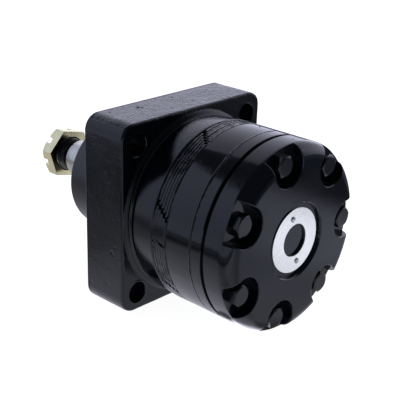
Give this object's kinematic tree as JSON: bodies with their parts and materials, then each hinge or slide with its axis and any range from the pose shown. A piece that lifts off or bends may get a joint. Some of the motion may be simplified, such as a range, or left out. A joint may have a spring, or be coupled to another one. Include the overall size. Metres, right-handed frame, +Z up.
{
  "type": "hydraulic wheel motor",
  "caption": "Black roller-stator hydraulic motor: square mounting flange with pilot, round bolted body and end cover, keyed taper shaft with slotted nut, two ports in the flange side.",
  "frame": {"origin": "centre of the flange's mounting face, on the output shaft's axis", "axes": "-X along the output shaft away from the motor, +X towards the end cover, +Z up, ports open towards +Y"},
  "size_m": [0.2363, 0.132, 0.133],
  "materials": {
    "housing_paint": "glossy black paint on a rough iron casting",
    "body_paint": "glossy black paint on turned steel",
    "cover_paint": "glossy black paint on a smooth casting",
    "bolt_black": "satin black oxide under thin paint",
    "tag_alu": "fine satin",
    "zinc_yellow": "pale yellow passivated zinc",
    "shaft_steel": "ground",
    "bearing_steel": "ground and polished",
    "hard_steel": "ground",
    "plate_steel": "ground",
    "cage": "machined",
    "seal_rubber": "smooth nitrile",
    "seal_brown": "smooth fluorocarbon",
    "seal_white": "filled fluoroplastic"
  },
  "bodies": {
    "motor_body": {"housing": "housing_paint", "manifold_plate_1": "body_paint", "manifold_plate_2": "body_paint", "manifold_plate_3": "body_paint", "manifold_plate_4": "body_paint", "manifold_plate_5": "body_paint", "stator_ring": "body_paint", "balance_plate": "body_paint", "end_cover": "cover_paint", "cover_bolts": "bolt_black", "tag_ring": "tag_alu", "tag_screws": "hard_steel", "dust_seal": "seal_rubber", "shaft_seal": "seal_brown", "seal_washer": "plate_steel", "body_seal_housing": "seal_rubber", "body_seal_stator_front": "seal_rubber", "body_seal_stator_rear": "seal_rubber", "body_seal_cover": "seal_rubber", "balance_seal": "seal_white", "front_bearing_cup": "bearing_steel", "rear_bearing_cup": "bearing_steel", "thrust_washer_front": "bearing_steel"},
    "shaft": {"output_shaft": "shaft_steel", "castle_nut": "zinc_yellow", "woodruff_key": "hard_steel", "thrust_washer_rear": "bearing_steel"},
    "front_bearing": {"front_bearing_cage": "cage", "front_bearing_rollers": "bearing_steel"},
    "rear_bearing": {"rear_bearing_cage": "cage", "rear_bearing_rollers": "bearing_steel"},
    "thrust_bearing": {"thrust_bearing_cage": "cage", "thrust_bearing_rollers": "bearing_steel"},
    "orbit": {"drive_spacer": "hard_steel"},
    "rotor": {"rotor": "hard_steel"},
    "drive_link": {"drive_link": "hard_steel"},
    "roller_1": {"stator_roller_1": "bearing_steel"},
    "roller_2": {"stator_roller_2": "bearing_steel"},
    "roller_3": {"stator_roller_3": "bearing_steel"},
    "roller_4": {"stator_roller_4": "bearing_steel"},
    "roller_5": {"stator_roller_5": "bearing_steel"},
    "roller_6": {"stator_roller_6": "bearing_steel"},
    "roller_7": {"stator_roller_7": "bearing_steel"}
  },
  "joints": [
    {"name": "shaft_spin", "type": "hinge", "parent": "motor_body", "child": "shaft", "pos_m": [0, 0, 0], "axis": [1, 0, 0], "continuous": true},
    {"name": "front_bearing_roll", "type": "hinge", "parent": "motor_body", "child": "front_bearing", "pos_m": [0, 0, 0], "axis": [1, 0, 0], "continuous": true},
    {"name": "rear_bearing_roll", "type": "hinge", "parent": "motor_body", "child": "rear_bearing", "pos_m": [0, 0, 0], "axis": [1, 0, 0], "continuous": true},
    {"name": "thrust_bearing_roll", "type": "hinge", "parent": "motor_body", "child": "thrust_bearing", "pos_m": [0, 0, 0], "axis": [1, 0, 0], "continuous": true},
    {"name": "rotor_orbit", "type": "hinge", "parent": "motor_body", "child": "orbit", "pos_m": [0.084, 0, 0], "axis": [1, 0, 0], "continuous": true},
    {"name": "rotor_spin", "type": "hinge", "parent": "orbit", "child": "rotor", "pos_m": [0.084, 0.00261, 0.00126], "axis": [1, 0, 0], "continuous": true},
    {"name": "link_spin", "type": "hinge", "parent": "orbit", "child": "drive_link", "pos_m": [0.024, 0, 0], "axis": [0.9988, 0.0435, 0.0209], "continuous": true},
    {"name": "roller_1_spin", "type": "hinge", "parent": "motor_body", "child": "roller_1", "pos_m": [0.084, 0.03243, 0.01562], "axis": [1, 0, 0], "continuous": true},
    {"name": "roller_2_spin", "type": "hinge", "parent": "motor_body", "child": "roller_2", "pos_m": [0.084, 0.00801, 0.0351], "axis": [1, 0, 0], "continuous": true},
    {"name": "roller_3_spin", "type": "hinge", "parent": "motor_body", "child": "roller_3", "pos_m": [0.084, -0.02245, 0.02815], "axis": [1, 0, 0], "continuous": true},
    {"name": "roller_4_spin", "type": "hinge", "parent": "motor_body", "child": "roller_4", "pos_m": [0.084, -0.036, 0], "axis": [1, 0, 0], "continuous": true},
    {"name": "roller_5_spin", "type": "hinge", "parent": "motor_body", "child": "roller_5", "pos_m": [0.084, -0.02245, -0.02815], "axis": [1, 0, 0], "continuous": true},
    {"name": "roller_6_spin", "type": "hinge", "parent": "motor_body", "child": "roller_6", "pos_m": [0.084, 0.00801, -0.0351], "axis": [1, 0, 0], "continuous": true},
    {"name": "roller_7_spin", "type": "hinge", "parent": "motor_body", "child": "roller_7", "pos_m": [0.084, 0.03243, -0.01562], "axis": [1, 0, 0], "continuous": true}
  ],
  "couplings": [
    {"joint": "front_bearing_roll", "follows": "shaft_spin", "ratio": 0.44944},
    {"joint": "rear_bearing_roll", "follows": "shaft_spin", "ratio": 0.46234},
    {"joint": "thrust_bearing_roll", "follows": "shaft_spin", "ratio": 0.5},
    {"joint": "rotor_orbit", "follows": "shaft_spin", "ratio": -6},
    {"joint": "rotor_spin", "follows": "shaft_spin", "ratio": 7},
    {"joint": "link_spin", "follows": "shaft_spin", "ratio": 7},
    {"joint": "roller_1_spin", "follows": "shaft_spin", "ratio": -3.742},
    {"joint": "roller_2_spin", "follows": "shaft_spin", "ratio": -3.742},
    {"joint": "roller_3_spin", "follows": "shaft_spin", "ratio": -3.742},
    {"joint": "roller_4_spin", "follows": "shaft_spin", "ratio": -3.742},
    {"joint": "roller_5_spin", "follows": "shaft_spin", "ratio": -3.742},
    {"joint": "roller_6_spin", "follows": "shaft_spin", "ratio": -3.742},
    {"joint": "roller_7_spin", "follows": "shaft_spin", "ratio": -3.742}
  ]
}
